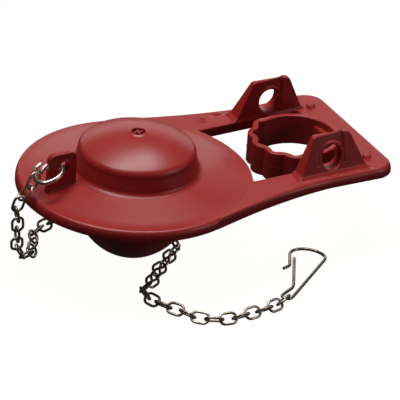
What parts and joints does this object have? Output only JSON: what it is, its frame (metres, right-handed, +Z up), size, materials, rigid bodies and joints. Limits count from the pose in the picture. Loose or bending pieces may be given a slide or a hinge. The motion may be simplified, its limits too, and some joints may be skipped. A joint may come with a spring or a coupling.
{
  "type": "toilet flapper",
  "caption": "Rubber toilet flapper: a round valve disc over a float bulb, a hinge frame with a fluted collar and upright ears, and a lift chain on a split ring that ends in a wire clip.",
  "frame": {"origin": "centre of the disc's sealing face, the flat underside that closes the valve seat", "axes": "+X from the disc towards the hinge frame, +Y across the hinge towards the far ear, +Z up out of the valve, away from the float bulb"},
  "size_m": [0.1351, 0.0993, 0.0471],
  "materials": {
    "rubber": "satin moulded",
    "ring_steel": "bright nickel plate",
    "chain_steel": "dull nickel plate"
  },
  "bodies": {
    "flapper": {"flapper": "rubber", "chain_link_01": "chain_steel", "chain_link_02": "chain_steel", "chain_link_03": "chain_steel", "chain_link_04": "chain_steel", "chain_link_05": "chain_steel", "chain_link_06": "chain_steel", "chain_link_07": "chain_steel", "chain_link_08": "chain_steel", "chain_link_09": "chain_steel", "chain_link_10": "chain_steel", "chain_link_11": "chain_steel", "chain_link_12": "chain_steel", "chain_link_13": "chain_steel", "chain_link_14": "chain_steel", "chain_link_15": "chain_steel", "chain_link_16": "chain_steel", "chain_link_17": "chain_steel", "chain_link_18": "chain_steel", "chain_link_19": "chain_steel", "chain_link_20": "chain_steel", "chain_link_21": "chain_steel", "chain_link_22": "chain_steel", "chain_link_23": "chain_steel", "chain_link_24": "chain_steel", "chain_link_25": "chain_steel", "chain_link_26": "chain_steel", "chain_link_27": "chain_steel", "chain_link_28": "chain_steel", "chain_link_29": "chain_steel", "chain_link_30": "chain_steel", "chain_link_31": "chain_steel", "chain_link_32": "chain_steel", "chain_link_33": "chain_steel", "chain_link_34": "chain_steel", "chain_link_35": "chain_steel", "chain_link_36": "chain_steel", "chain_link_37": "chain_steel", "chain_link_38": "chain_steel", "chain_link_39": "chain_steel", "chain_link_40": "chain_steel", "chain_link_41": "chain_steel", "chain_link_42": "chain_steel", "chain_link_43": "chain_steel", "chain_link_44": "chain_steel", "chain_link_45": "chain_steel", "chain_link_46": "chain_steel"},
    "ring": {"split_ring": "ring_steel"},
    "clip": {"chain_clip": "chain_steel"}
  },
  "joints": [
    {"name": "ring_turn", "type": "hinge", "parent": "flapper", "child": "ring", "pos_m": [-0.03358, 0, 0.01244], "axis": [-0.2756, 0, 0.9613], "range_deg": [-5, 20]},
    {"name": "clip_swing", "type": "hinge", "parent": "flapper", "child": "clip", "pos_m": [0.03349, -0.05125, -0.02411], "axis": [0, 0, 1], "range_deg": [-45, 45]}
  ]
}
